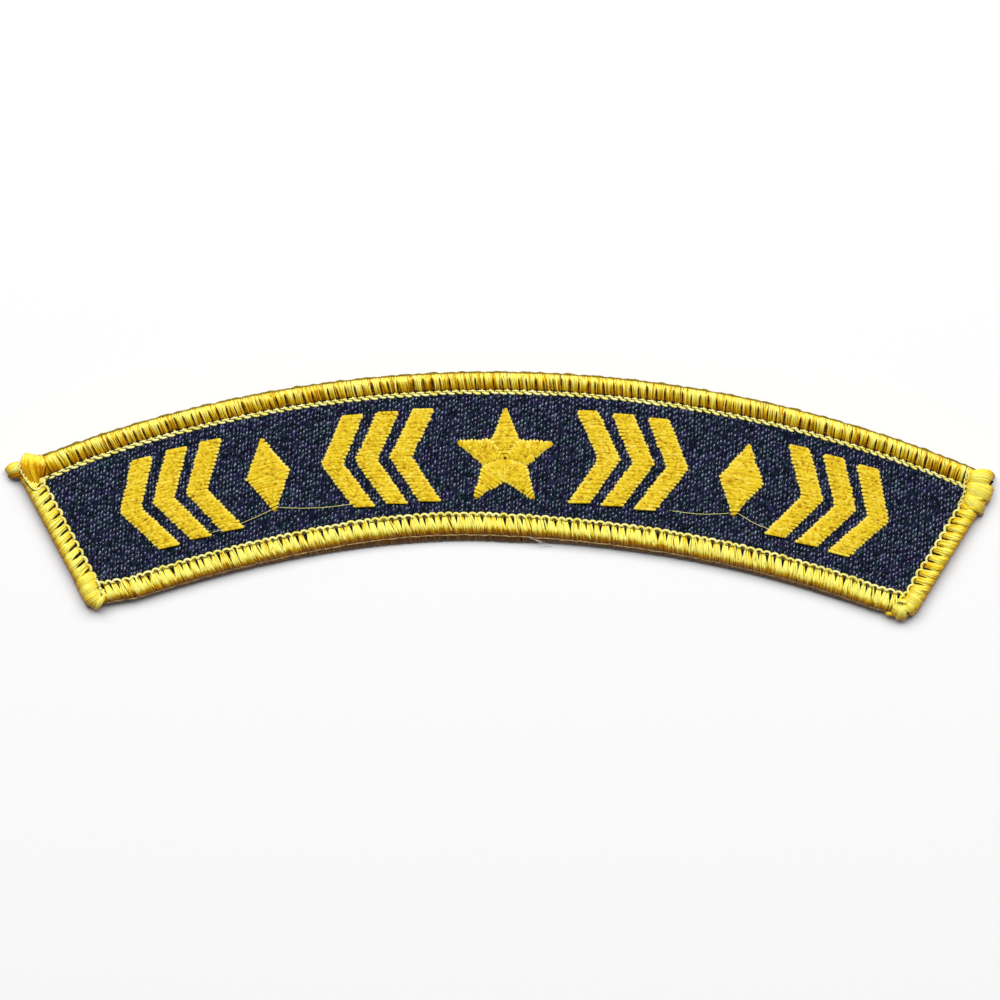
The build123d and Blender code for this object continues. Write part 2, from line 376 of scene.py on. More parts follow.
# The edge: where the stitches run, all round the patch, in mm and degrees
edge = {
    "pitch": perRun(1.12, 1.12, 1.02, 1.12),
    # how unevenly the stitches follow each other, as a share of the pitch
    "uneven": {"top": 0.07, "bottom": 0.13},
    "mostUneven": 0.25,
    # strands in a stitch: each stands for several filaments, which are too fine to show
    "strands": 9,
    "strandRadius": 0.1,
    "slant": perRun(8, 16, 10, 15),
    # gap between neighbours: where it starts, over what length it opens, share of the pitch
    "slit": perRun((0.7, 0.6, 0.27), (1.25, 0.7, 0.28), (1.45, 0.9, 0.36), (1.15, 0.7, 0.32)),
    # how deep the groove between two bundles is, and how unevenly the strands turn down
    "groove": perRun(0.1, 0.26, 0.12, 0.14),
    "fray": perRun(0.2, 0.1, 0.22, 0.1),
    # how much the edge's outline goes in between two bundles
    "scallop": perRun(0.04, 0.16, 0.05, 0.06),
    # how thick the strands are, from the thinnest to the thickest
    "thickness": perRun((0.75, 1.15), (1.0, 1.25), (0.8, 1.15), (0.95, 1.2)),
    # how much the strands of a stitch differ in tone, and how far they stray sideways
    "contrast": perRun(1.1, 0.4, 0.9, 0.45),
    "stray": perRun(0.2, 0.07, 0.12, 0.07),
    # share of that contrast that is left low on the outer side, and inside of innerFrom on the top run
    "lowContrast": 0.4,
    "innerContrast": 0.55,
    "innerFrom": 1.6,
    # below this height the bottom run bulges out: how far at its left and at its right part,
    # between which angles it changes, and a bump: how far, where, how wide
    "lowHeight": 1.1,
    "lowBulge": (0.3, 0.45),
    "lowAngles": (-2, 10),
    "lowBump": (0.26, 0.5, 1.5),
    # how much less it bulges near its ends, and over which angles
    "lowEnds": (0.3, 17, 20),
    # how far the bottom run's crest lies further out, towards its left and its right end
    "crestOut": {"left": (0.18, 10, 15), "right": (0.2, 6, 12)},
    # how far the outline is drawn in at the corners, across the arc and from the end
    "cornerLift": {"topRight": -0.2, "bottomRight": 0.6, "bottomLeft": 0.9, "topLeft": 0.0},
    "cornerInset": {"topRight": 0.7, "bottomRight": 0.2, "bottomLeft": 0.0, "topLeft": 0.0},
    "liftAngles": {"left": (19.2, 22), "right": (19.5, 22.3)},
    # how far the lower edge is drawn in left of the middle, where and how wide
    "hump": (0.6, -4.5, 6.5),
    # the first stitches after the top left corner: how much longer they are, over how many
    # that fades, how many are tight, and those ones' gap, lowering and strands' thickness. The lowering
    # also paints them darker, as shade
    "firstReach": 0.5,
    "firstFade": 5,
    "firstTight": 4,
    "tight": (0.03, 0.08, 1.2, 1.45),
    # the stitches that fan round a corner: along its sides, how many, how far in, how much lower;
    # lying lower, they are also painted darker, as shade under the bunches
    "cornerRound": {"topRight": 2.4, "bottomRight": 1.7, "bottomLeft": 1.8, "topLeft": 1.8},
    "cornerStitches": {"topRight": 4, "bottomRight": 4, "bottomLeft": 4, "topLeft": 3},
    "cornerReach": (2.6, 2.5),
    "cornerLowered": 0.3,
    # below the cloth: distance in from the edge's line, height, tone, painted darker as shade
    "under": ((2.35, 0.3, -0.3), (1.8, 0.11, -0.3), (1.1, 0.11, -0.3)),
    # over the cloth, from the outer side to the tip. The tones paint light and shade: lighter where the
    # border faces the light, darker where it turns away and low on the outer side
    "over": {
        "top": (
            (0.6, 0.2, -0.2), (0.48, 0.55, -0.1), (0.45, 1.1, 0.0), (0.51, 1.6, 0.15), (0.7, 2.0, 0.28),
            (0.9, 2.22, 0.36), (1.15, 2.25, 0.22), (1.45, 2.14, 0.02), (1.8, 1.97, -0.1), (2.3, 1.7, -0.16),
            (2.72, 1.46, -0.15),
        ),
        "bottom": (
            (0.42, 0.14, -0.3), (0.14, 0.3, -0.3), (0.08, 0.62, -0.35), (0.15, 0.95, -0.4),
            (0.3, 1.25, -0.4), (0.52, 1.52, -0.35), (0.78, 1.76, -0.2), (1.05, 1.97, 0.0),
            (1.35, 2.12, 0.5), (1.75, 2.1, 0.6), (2.3, 1.84, 0.38), (2.95, 1.46, 0.1),
        ),
        "right": (
            (0.62, 0.14, -0.4), (0.3, 0.5, -0.3), (0.2, 1.0, -0.25), (0.28, 1.45, -0.2), (0.48, 1.85, -0.1),
            (0.78, 2.14, 0.03), (1.12, 2.26, 0.17), (1.5, 2.22, 0.17), (1.88, 2.02, 0.11),
            (2.35, 1.76, 0.02), (2.8, 1.44, -0.05),
        ),
        "left": (
            (0.62, 0.14, -0.4), (0.3, 0.5, -0.3), (0.2, 1.0, -0.3), (0.28, 1.42, -0.25), (0.5, 1.8, -0.15),
            (0.78, 2.12, 0.1), (1.12, 2.26, 0.28), (1.5, 2.22, 0.35), (1.88, 2.02, 0.34),
            (2.35, 1.76, 0.22), (2.8, 1.44, 0.08),
        ),
    },
}


def bezier(a, b, c, t):
    return a * (1 - t) ** 2 + b * (2 * t * (1 - t)) + c * t * t


def angleOf(point):
    offset = point - arcCentre
    return degrees(atan2(offset.x, offset.y))


def arcTangent(point):
    return -leftOf((point - arcCentre).normalized())


def smoothStep(low, high, value):
    share = min(1, max(0, (value - low) / (high - low)))
    return share * share * (3 - 2 * share)


def fading(distance):
    # 1 at no distance, about a third at a distance of 1, and soon nothing
    return 2.718 ** -distance


def bell(value, middle, width):
    # 1 in the middle, fading to nothing on both sides
    return fading(((value - middle) / width) ** 2)


def humpLift(angle):
    # How far the lower edge is drawn in left of the middle
    height, middle, width = edge["hump"]
    return height * bell(angle, middle, width)


def bottomLine(angle):
    # The lower edge isn't a true arc: it is pulled in a little left of the middle and at the corners
    lift = edge["cornerLift"]["bottomLeft"] * smoothStep(*edge["liftAngles"]["left"], -angle)
    lift += edge["cornerLift"]["bottomRight"] * smoothStep(*edge["liftAngles"]["right"], angle)
    return bottomRadius + humpLift(angle) + lift


def lowBulge(angle):
    # Low down the bottom run bulges outwards, as far as the true arc and more so towards the right
    least, most = edge["lowBulge"]
    bump, middle, width = edge["lowBump"]
    less, *angles = edge["lowEnds"]
    bulge = least + (most - least) * smoothStep(*edge["lowAngles"], angle)
    bulge += bump * bell(angle, middle, width)
    return bulge + humpLift(angle) - less * smoothStep(*angles, abs(angle))


def crestShift(angle):
    # Towards both ends of the bottom run the stitches' crest lies further out
    (left, *leftAngles), (right, *rightAngles) = edge["crestOut"]["left"], edge["crestOut"]["right"]
    return left * smoothStep(*leftAngles, -angle) + right * smoothStep(*rightAngles, angle)


cornerSpots = {
    "topLeft": ("left", band["topRadius"]),
    "topRight": ("right", band["topRadius"]),
    "bottomRight": ("right", bottomRadius),
    "bottomLeft": ("left", bottomRadius),
}
corners = {name: cornerPoint(side, 0, radius) for name, (side, radius) in cornerSpots.items()}


def atCorner(corner, away, up):
    # The place at that distance in from the end's line and up along it
    _, inward, upward = endFrame(cornerSpots[corner][0])
    return corners[corner] + inward * away + upward * up


def runStitches(run):
    # Places of one run's stitches, clockwise, as (outer point, tip, spacing, slant)
    cut, reach = edge["cornerRound"], edge["over"][run][-1][0]
    slant = tan(radians(edge["slant"][run]))
    stitches = []
    if run in ("top", "bottom"):
        way, names = (1, ("topLeft", "topRight")) if run == "top" else (-1, ("bottomRight", "bottomLeft"))
        radius = cornerSpots[names[0]][1]
        start = angleOf(corners[names[0]]) + way * degrees(cut[names[0]] / radius)
        stop = angleOf(corners[names[1]]) - way * degrees(cut[names[1]] / radius)
        count = round(abs(radians(stop - start)) * radius / edge["pitch"][run])
        step = (stop - start) / count
        most = edge["mostUneven"]
        shifts = [max(-most, min(most, rng.gauss(0, edge["uneven"][run]))) for _ in range(count)]
        places = [k + shift for k, shift in enumerate(shifts)] + [count]
        for k in range(count):
            angle = start + step * (places[k] + places[k + 1]) / 2
            line = band["topRadius"] if run == "top" else bottomLine(angle)
            longer = edge["firstReach"] * fading(k / edge["firstFade"]) if run == "top" else 0
            tip = onArc(line - way * (reach + longer), angle)
            spacing = abs(radians(step)) * radius * (places[k + 1] - places[k])
            stitches.append((onArc(line, angle), tip, spacing, slant))
        return stitches
    names = ("topRight", "bottomRight") if run == "right" else ("bottomLeft", "topLeft")
    _, inward, upward = endFrame(run)
    way = -upward if run == "right" else upward
    first = corners[names[0]] + way * cut[names[0]]
    last = corners[names[1]] - way * cut[names[1]]
    count = round((last - first).length / edge["pitch"][run])
    spacing = (last - first).length / count
    for k in range(count):
        spot = first + way * spacing * (k + 0.5)
        stitches.append((spot, spot + inward * reach, spacing, slant))
    return stitches


def cornerStitches(name):
    # The stitches that fan round a corner
    outer = corners[name]
    side, radius = cornerSpots[name]
    upward = endFrame(side)[2]
    along = arcTangent(outer)
    before, after = {
        "topLeft": (upward, along),
        "topRight": (along, -upward),
        "bottomRight": (-upward, -along),
        "bottomLeft": (-along, upward),
    }[name]
    endReach, arcReach = edge["cornerReach"]
    if radius != band["topRadius"]:
        arcReach = -arcReach
    if name == "topLeft":
        arcReach += edge["firstReach"]
    inner = cornerPoint(side, endReach, radius - arcReach)
    shell = cornerPoint(side, edge["cornerInset"][name], radius + edge["cornerLift"][name])
    cut = edge["cornerRound"][name]
    start, stop = shell - before * cut, shell + after * cut
    count = edge["cornerStitches"][name]
    stitches = []
    for k in range(count):
        t, half = (k + 0.5) / count, 0.5 / count
        onOuter = bezier(start, shell, stop, t)
        onInner = bezier(inner - before * 0.5, inner, inner + after * 0.5, t)
        ahead = bezier(start, shell, stop, min(1, t + half))
        behind = bezier(start, shell, stop, max(0, t - half))
        stitches.append((onOuter, onInner, (ahead - behind).length, 0.0))
    return stitches


def stitchStrands(stitch, run, loweredAndDarkened=0.0, tight=False):
    # One merrow stitch: a flat bundle of strands from under the cloth, round the edge, to its tip
    outer, tip, spacing, slant = stitch
    over = edge["over"][run]
    slitStart, slitRamp, slitShare = edge["slit"][run]
    thinnest, thickest = edge["thickness"][run]
    if tight:
        slitShare, loweredAndDarkened, thinnest, thickest = edge["tight"]
    inward = (tip - outer).normalized()
    clockwise = leftOf(inward)
    length = (tip - outer).length
    scale = length / over[-1][0]
    # no two stitches are quite alike
    slant += rng.uniform(-0.04, 0.04)
    shift = rng.uniform(-0.04, 0.04)
    tipShift = rng.uniform(-0.06, 0.06)
    raised = rng.uniform(-0.05, 0.05)
    bent = rng.uniform(-0.06, 0.06)
    toneShift = rng.uniform(-0.12, 0.12)
    lowest = 0.01 + edge["strandRadius"] * thickest
    underCount, count = len(edge["under"]), edge["strands"]
    bulge, shiftOut = (lowBulge(angleOf(outer)), crestShift(angleOf(outer))) if run == "bottom" else (0, 0)
    strands = []
    for j in range(count):
        # -0.5 to 0.5 across the bundle
        v = (j + 0.5) / count - 0.5
        wobble, drift = rng.uniform(-0.04, 0.04), rng.uniform(-1, 1) * edge["stray"][run]
        crest, high = rng.gauss(0, edge["fray"][run]), rng.uniform(-0.07, 0.07)
        offTone = (rng.random() - 0.5 + toneShift) * edge["contrast"][run]
        points, tones = [], []
        # each row's tone is its painted light and shade
        for number, (away, z, shade) in enumerate(edge["under"] + over):
            share = away / over[-1][0]
            isOver = number >= underCount
            # 0 to 1 over the top of the border
            crossing = max(0, share - 0.25) / 0.75 if number > underCount + 2 else 0
            opening = min(1, max(0, away - slitStart) / slitRamp) if crossing else 0
            side = v * spacing * (1 - slitShare * opening)
            side += wobble + shift + drift * (share - 0.5) + slant * length * (share - 0.5)
            away += (crest + bent) * sin(pi * crossing) + tipShift * crossing
            away -= shiftOut * (1 - share) * smoothStep(1.1, 1.7, z)
            if isOver:
                away += edge["scallop"][run] * (2 * v) ** 2 * max(0, 1 - crossing * 4)
            if isOver and z < edge["lowHeight"]:
                away -= bulge * (1 - z / edge["lowHeight"])
            if crossing:
                groove = edge["groove"][run] * (2 * v) ** 2
                z += (raised + high - loweredAndDarkened) * min(1, 3 * (1 - share)) - groove
            points.append((*(outer + inward * away * scale + clockwise * side), max(lowest, z)))
            spread = edge["lowContrast"] if away < 1.1 and z < 1.9 else 1
            if run == "top" and away > edge["innerFrom"]:
                spread = edge["innerContrast"]
            # stitches that lie lower are painted darker by twice their lowering: painted shade
            tones.append(0.5 + offTone * spread + shade - 2 * loweredAndDarkened)
        strands.append((points, tapered(points, 0.05, rng.uniform(thinnest, thickest)), tones))
    return strands


core = {
    "radius": 0.27,
    # distance in from the edge's line, height and tone of each cord; their dark tones are painted shade in
    # the chinks between the strands
    "shadeCords": perRun(
        (
            (0.82, 1.3, -0.1), (0.96, 1.78, -0.1), (1.24, 1.72, -0.2), (1.55, 1.5, -0.5), (1.9, 1.38, -0.6),
            (2.25, 1.33, -0.7),
        ),
        ((0.52, 0.8, -0.1), (0.62, 1.3, -0.1), (0.9, 1.68, -0.1), (1.2, 1.74, -0.1)),
        ((0.42, 0.62, -0.1), (0.55, 0.98, -0.1), (0.86, 1.36, -0.1), (1.15, 1.6, -0.1), (1.5, 1.66, -0.1)),
        ((0.52, 0.8, -0.1), (0.62, 1.3, -0.1), (0.9, 1.68, -0.1), (1.2, 1.74, -0.1)),
    ),
}


def coreCord(stitches, away, z, tone):
    # A cord that the stitches are wrapped round; it fills the chinks between their strands, and its dark
    # tone is painted shade there
    points = [(*(outer + (tip - outer).normalized() * away), z) for outer, tip, _, _ in stitches]
    return points, tapered(points), tone


chain = {
    "loopRadius": perRun(0.17, 0.16, 0.17, 0.17),
    "curlRadius": 0.08,
    "tieRadius": 0.11,
    "needleRadius": 0.05,
    # half width of a loop as a share of the pitch, how far out from the tips it lies, its reach
    # inwards in mm, how much further in its later side lies, and its two ends as angles from
    # the way inwards
    "width": perRun(0.46, 0.44, 0.45, 0.44),
    "back": perRun(0.0, 0.3, 0.32, 0.3),
    "bulge": perRun(0.28, 0.42, 0.38, 0.42),
    "skew": perRun(0.12, 0.0, 0.0, 0.0),
    "turn": perRun((-115, 75), (-125, 100), (-100, 100), (-85, 115)),
    "height": 1.62,
    # how far along the loops lie from the slits, as a share of the pitch
    "shift": perRun(0.0, -0.33, 0.0, 0.05),
    # the ply inside each loop: its size, how much lower, and its tone in the outer one's shadow
    "underRadius": perRun(0.1, 0.07, 0.07, 0.08),
    "underSize": 0.6,
    "underDrop": 0.05,
    "underTone": perRun(0.0, -0.7, -0.7, -0.7),
    # the tie thread over a stitch's tip: place across it and height
    "tie": ((-1, 1.42), (-0.85, 1.6), (-0.5, 1.67), (0, 1.69), (0.5, 1.67), (0.85, 1.6), (1, 1.42)),
    # the needle thread's distance out from the tips, and its height
    "needle": (0.35, 1.8),
    # the curls at the corners: swing along and across, and rise
    "curl": (0.14, 0.12, 0.06),
}


def tipOf(stitch):
    outer, tip, _, slant = stitch
    inward = (tip - outer).normalized()
    return tip + leftOf(inward) * slant * (tip - outer).length * 0.5, inward


def loopStrand(a, b, run, scale, drop, shade):
    # One loop of the looper thread, round the slit between two stitches
    (tipA, inwardA), (tipB, inwardB) = tipOf(a), tipOf(b)
    inward = (inwardA + inwardB).normalized()
    step = tipB - tipA
    middle = tipA + step * (0.5 + chain["shift"][run])
    middle = middle + inward * (rng.uniform(-0.04, 0.04) - chain["back"][run])
    bulge = chain["bulge"][run] * rng.uniform(0.85, 1.15) * scale
    width = step * chain["width"][run] * rng.uniform(0.92, 1.08) * (0.8 + 0.2 * scale)
    first, last = chain["turn"][run]
    points = []
    steps = 10
    for i in range(steps + 1):
        turn = radians(first + (last - first) * i / steps)
        reach = bulge * cos(turn) if cos(turn) > 0 else cos(turn) * 0.6
        spot = middle + width * sin(turn) + inward * (reach + chain["skew"][run] * sin(turn))
        # it sinks a little along the loop, and more so where it dives back under the stitches
        fall = 0.12 * (i / steps) + 0.22 * max(0, -cos(turn)) * 4
        points.append((*spot, chain["height"] - drop - fall + rng.uniform(-0.01, 0.01)))
    return points, tapered(points), rng.random() + shade


def tieStrand(stitch):
    # The tie thread where it crosses the tip of one stitch
    tip, inward = tipOf(stitch)
    half = stitch[2] * 0.43
    points = []
    for share, height in chain["tie"]:
        spot = tip + leftOf(inward) * share * half + inward * rng.uniform(-0.035, 0.005)
        points.append((*spot, height))
    return points, tapered(points), rng.random()


# The threads that show outside the stitches, low down along the long edges: distance in
# from the edge's line, height, how far they wander, thickness
edgeThreads = {"top": (0.34, 1.0, 0.1, 0.165, oliveThread), "bottom": (0.2, 1.22, 0.08, 0.09, tanThread)}


def edgeThread(run, inset, low, wobble):
    start, stop = (angleOf(ring[run][k][0]) for k in (0, -1))
    count = 400
    points = []
    wave = [rng.uniform(0, 2 * pi) for _ in range(3)]
    for i in range(count + 1):
        angle = start + (stop - start) * i / count
        swing = sum(sin(angle * f + w) for f, w in zip((9.0, 15.7, 4.1), wave)) / 3
        away = inset + wobble * swing + rng.uniform(-0.01, 0.01)
        line = band["topRadius"] - away if run == "top" else bottomLine(angle) + away
        points.append((*onArc(line, angle), low + 0.05 * swing))
    factors = [0.1] + [1 + 0.3 * sin(i * 0.9) * sin(i * 0.23) for i in range(count - 1)] + [0.1]
    return points, factors, 0.5


# Bunches of thread at the corners, where the machine turned. Each row of a bunch is a
# place on it: distance in from the end's line, distance up it, height, width, tone. The tone
# partly paints light and shade: rims that face the light lighter, ends, undersides and fills darker
bunches = {
    "topLeft": (
        (
            (2.85, 0.2, 1.1, 1.0, 0.4), (2.6, -0.15, 2.1, 1.5, 0.22), (2.25, -0.75, 2.55, 1.75, -0.12),
            (1.95, -1.5, 2.6, 1.7, -0.26), (1.8, -2.6, 2.45, 1.4, -0.24), (1.75, -3.9, 2.0, 0.6, -0.14),
        ),
        (
            (3.55, -0.45, 1.1, 0.9, 0.35), (3.4, -0.8, 2.05, 1.4, 0.2), (3.05, -1.5, 2.3, 1.5, -0.3),
            (2.7, -2.3, 2.2, 1.1, -0.4), (2.35, -3.1, 1.9, 0.5, -0.4),
        ),
        (
            (4.2, -1.1, 1.1, 1.0, 0.4), (4.0, -1.45, 2.0, 1.2, 0.15), (3.6, -2.0, 2.2, 1.1, -0.35),
            (3.2, -2.6, 2.1, 0.8, -0.4), (2.7, -3.2, 1.8, 0.4, -0.4),
        ),
        (
            (1.3, -0.7, 1.9, 0.8, 0.4), (0.7, -0.55, 1.9, 1.1, 0.4), (0.1, -0.42, 1.8, 1.2, 0.35),
            (-0.4, -0.48, 1.5, 1.1, 0.2), (-0.8, -0.6, 1.0, 0.8, 0.0),
        ),
        (
            (1.2, -1.45, 1.65, 0.9, 0.0), (0.6, -1.3, 1.6, 1.1, -0.15), (0.0, -1.1, 1.5, 1.1, -0.2),
            (-0.5, -0.95, 1.25, 0.9, -0.2), (-0.85, -0.75, 0.9, 0.6, -0.2),
        ),
    ),
    "topRight": (
        (
            (4.0, -2.2, 1.8, 0.8, 0.1), (3.2, -1.75, 2.4, 1.4, 0.2), (2.4, -1.3, 2.5, 1.9, 0.2),
            (1.7, -1.08, 2.35, 2.0, 0.1), (1.2, -0.98, 1.75, 1.8, 0.0), (0.98, -0.98, 0.8, 1.4, -0.1),
        ),
        (
            (3.45, -3.0, 1.8, 0.7, 0.1), (2.8, -2.95, 2.4, 1.4, 0.2), (1.9, -2.85, 2.5, 1.9, 0.2),
            (0.9, -2.7, 2.35, 2.0, 0.15), (0.2, -2.6, 1.7, 1.9, 0.05), (-0.02, -2.55, 0.7, 1.7, -0.1),
        ),
        (
            (2.95, -4.35, 1.7, 0.7, 0.1), (2.35, -4.4, 2.3, 1.4, 0.15), (1.5, -4.5, 2.4, 1.9, 0.2),
            (0.6, -4.55, 2.2, 1.8, 0.1), (0.05, -4.55, 1.5, 1.7, 0.0), (-0.15, -4.5, 0.7, 1.5, -0.1),
        ),
        (
            (2.9, -5.35, 1.6, 0.6, 0.05), (1.9, -5.6, 2.05, 0.8, 0.1), (0.9, -5.75, 1.95, 0.8, 0.0),
            (0.25, -5.7, 1.2, 0.7, -0.1),
        ),
        # fills between the lobes, a little lower
        (
            (3.4, -2.3, 1.7, 0.8, 0.0), (2.6, -2.05, 2.3, 1.1, 0.1), (1.9, -1.9, 2.2, 0.9, 0.0),
            (1.5, -1.8, 1.7, 0.5, -0.3),
        ),
        (
            (3.2, -3.6, 1.7, 0.9, 0.1), (2.3, -3.6, 2.3, 1.2, 0.15), (1.4, -3.65, 2.15, 0.9, 0.0),
            (0.6, -3.6, 1.6, 0.5, -0.2),
        ),
    ),
    "bottomRight": (
        (
            (2.5, 3.95, 1.5, 0.8, 0.1), (2.05, 4.0, 2.2, 1.2, 0.2), (1.4, 4.1, 2.4, 1.5, 0.2),
            (0.8, 4.2, 2.0, 1.5, 0.1), (0.35, 4.3, 1.1, 1.3, -0.1),
        ),
        (
            (2.45, 2.9, 1.5, 0.9, 0.1), (2.0, 2.9, 2.3, 1.4, 0.2), (1.3, 2.95, 2.42, 1.7, 0.2),
            (0.6, 2.95, 2.0, 1.6, 0.1), (0.15, 2.95, 1.0, 1.4, -0.1),
        ),
        (
            (2.3, 2.0, 1.7, 0.8, 0.1), (1.75, 1.95, 2.3, 1.2, 0.2), (1.1, 1.85, 2.25, 1.4, 0.15),
            (0.5, 1.75, 1.6, 1.4, 0.0), (0.25, 1.7, 0.9, 1.2, -0.15),
        ),
        (
            (2.0, 1.35, 1.8, 0.6, 0.1), (1.5, 1.25, 2.1, 0.9, 0.1), (1.1, 1.15, 1.7, 0.9, 0.0),
            (0.8, 1.05, 0.9, 0.7, -0.1),
        ),
        # fingers of thread round the tip
        (
            (2.95, 1.7, 1.6, 0.25, 0.2), (2.95, 0.9, 2.15, 0.35, 0.25), (2.75, 0.2, 1.8, 0.3, 0.3),
            (2.5, -0.25, 0.9, 0.2, 0.0),
        ),
        (
            (2.7, 1.8, 1.6, 0.25, 0.2), (2.6, 0.9, 2.25, 0.35, 0.35), (2.3, 0.25, 1.8, 0.35, 0.2),
            (2.0, -0.15, 0.9, 0.25, 0.0),
        ),
        (
            (2.55, 1.8, 1.6, 0.25, 0.2), (2.3, 0.9, 2.2, 0.35, 0.1), (1.95, 0.2, 1.9, 0.3, 0.35),
            (1.7, -0.3, 0.9, 0.2, 0.1),
        ),
        (
            (2.3, 1.8, 1.6, 0.25, 0.2), (2.05, 1.0, 2.3, 0.35, 0.4), (1.6, 0.35, 1.85, 0.35, 0.2),
            (1.35, -0.2, 0.9, 0.25, 0.0),
        ),
        (
            (2.2, 1.7, 1.6, 0.25, 0.2), (1.8, 1.1, 2.2, 0.35, 0.15), (1.35, 0.5, 1.8, 0.3, 0.3),
            (1.1, -0.05, 0.9, 0.2, 0.0),
        ),
        (
            (2.4, 1.6, 2.0, 0.25, 0.2), (1.9, 1.2, 2.3, 0.4, 0.3), (1.4, 0.85, 1.9, 0.4, 0.1),
            (1.05, 0.6, 1.1, 0.3, -0.1),
        ),
        (
            (3.2, 1.5, 1.8, 0.2, 0.2), (2.8, 1.8, 2.25, 0.28, 0.35), (2.3, 2.05, 2.35, 0.28, 0.35),
            (1.8, 2.15, 2.2, 0.2, 0.2),
        ),
        (
            (2.6, 0.1, 1.5, 0.25, 0.2), (2.95, -0.1, 1.45, 0.4, 0.3), (3.3, -0.3, 1.25, 0.35, 0.4),
            (3.6, -0.38, 0.9, 0.15, 0.3),
        ),
    ),
    "bottomLeft": (
        (
            (2.8, 4.6, 1.7, 0.8, 0.15), (1.9, 4.5, 2.3, 1.3, 0.2), (0.9, 4.4, 2.3, 1.4, 0.15),
            (0.35, 4.4, 1.6, 1.2, 0.0), (0.1, 4.4, 0.8, 1.0, -0.2),
        ),
        (
            (2.7, 3.4, 1.8, 1.0, 0.15), (1.8, 3.4, 2.4, 1.5, 0.2), (0.85, 3.3, 2.35, 1.6, 0.15),
            (0.3, 3.3, 1.6, 1.3, 0.0), (0.05, 3.3, 0.8, 1.1, -0.2),
        ),
        (
            (2.5, 2.3, 1.8, 1.0, 0.1), (1.7, 2.3, 2.4, 1.4, 0.15), (0.8, 2.2, 2.3, 1.4, 0.0),
            (0.3, 2.1, 1.6, 1.2, -0.15), (0.05, 2.1, 0.8, 1.0, -0.3),
        ),
        (
            (2.4, 1.95, 1.8, 0.7, 0.0), (1.6, 1.65, 2.2, 1.0, 0.05), (0.9, 1.4, 1.9, 1.1, -0.1),
            (0.45, 1.25, 1.0, 0.9, -0.25),
        ),
        (
            (2.85, 1.9, 2.0, 0.2, 0.2), (2.2, 1.35, 2.35, 0.35, 0.4), (1.4, 0.95, 2.05, 0.4, 0.4),
            (0.75, 0.75, 1.1, 0.3, 0.2),
        ),
    ),
}


def smoothRows(rows, steps):
    # A smooth path through the rows
    table = np.array([rows[0], *rows, rows[-1]], dtype=float)
    path = []
    for a, b, c, d in zip(table, table[1:], table[2:], table[3:]):
        for t in np.arange(steps) / steps:
            bend = (2 * a - 5 * b + 4 * c - d) * t**2 + (3 * b - a - 3 * c + d) * t**3
            path.append(b + 0.5 * ((c - a) * t + bend))
    return [*path, table[-1]]


def wayAt(corner, near, far):
    # The way from one row to another
    _, inward, upward = endFrame(cornerSpots[corner][0])
    return (inward * (far[0] - near[0]) + upward * (far[1] - near[1])).normalized()


def bunchStrands(corner, rows):
    # Strands all round a flattened rope that follows the rows
    path = smoothRows(rows, 3)
    last = len(path) - 1
    widest = max(row[3] for row in rows)
    # fine strands over the upper side and four thick ones beneath: place round the rope, thickness
    count = max(6, round(widest * 1.9 / 0.12))
    places = [(radians(-20 + 220 * (k + 0.5) / count), 1.3) for k in range(count)]
    places += [(radians(200 + 140 * (k + 0.5) / 4), 2.4) for k in range(4)]
    strands = []
    for k, (place, factor) in enumerate(places):
        lowest = 0.02 + edge["strandRadius"] * factor
        shade = 0.5 + rng.uniform(-0.17, 0.17)
        swing, twist = rng.uniform(-0.06, 0.06), rng.uniform(-0.16, 0.16)
        bump, cut, ragged = rng.uniform(-0.03, 0.03), rng.uniform(0, 0.08), rng.uniform(-0.1, 0.1)
        points, tones = [], []
        for number, (away, up, top, width, tone) in enumerate(path):
            way = wayAt(corner, path[max(0, number - 1)], path[min(last, number + 1)])
            thick = min(0.9, width * 0.65)
            along = number / last
            turn = place + twist * (along - 0.5)
            sideways = cos(turn) * width / 2 + swing * sin(5 * along + k)
            spot = atCorner(corner, away, up)
            spot += leftOf(way) * sideways + way * ragged * (1 - along) ** 3
            if number == last:
                spot -= way * cut
            height = top - 0.1 - thick / 2 + sin(turn) * thick / 2 + bump * sin(pi * along)
            points.append((*spot, max(lowest, height)))
            # the sides lie in shadow
            tones.append(shade + tone + 0.16 * (sin(turn) - 1) * sin(pi * along))
        strands.append((points, tapered(points, 0.3, factor), tones))
    return strands


# Lines of small chain curls that run over the corners: pitch, and rows of distance in,
# distance up, height
cornerChains = {
    "topLeft": (
        (
            0.62,
            (
                (1.3, -0.1, 2.1), (1.0, -0.8, 2.2), (0.95, -1.7, 2.25), (1.05, -2.9, 2.3),
                (1.2, -3.8, 2.25), (1.7, -4.3, 2.2),
            ),
        ),
        (0.6, ((1.7, -4.3, 2.2), (2.3, -4.2, 2.15), (2.9, -4.0, 2.0))),
    ),
    "bottomLeft": ((0.66, ((2.9, 3.9, 2.1), (2.85, 3.2, 2.2), (2.7, 2.4, 2.3), (2.4, 1.6, 2.2))),),
    "topRight": (
        (
            0.62,
            (
                (4.5, -1.2, 2.0), (4.15, -2.1, 2.15), (3.85, -3.0, 2.2), (3.35, -3.8, 2.15),
                (3.12, -4.5, 2.05), (3.05, -5.3, 1.9), (3.0, -6.0, 1.75),
            ),
        ),
    ),
}
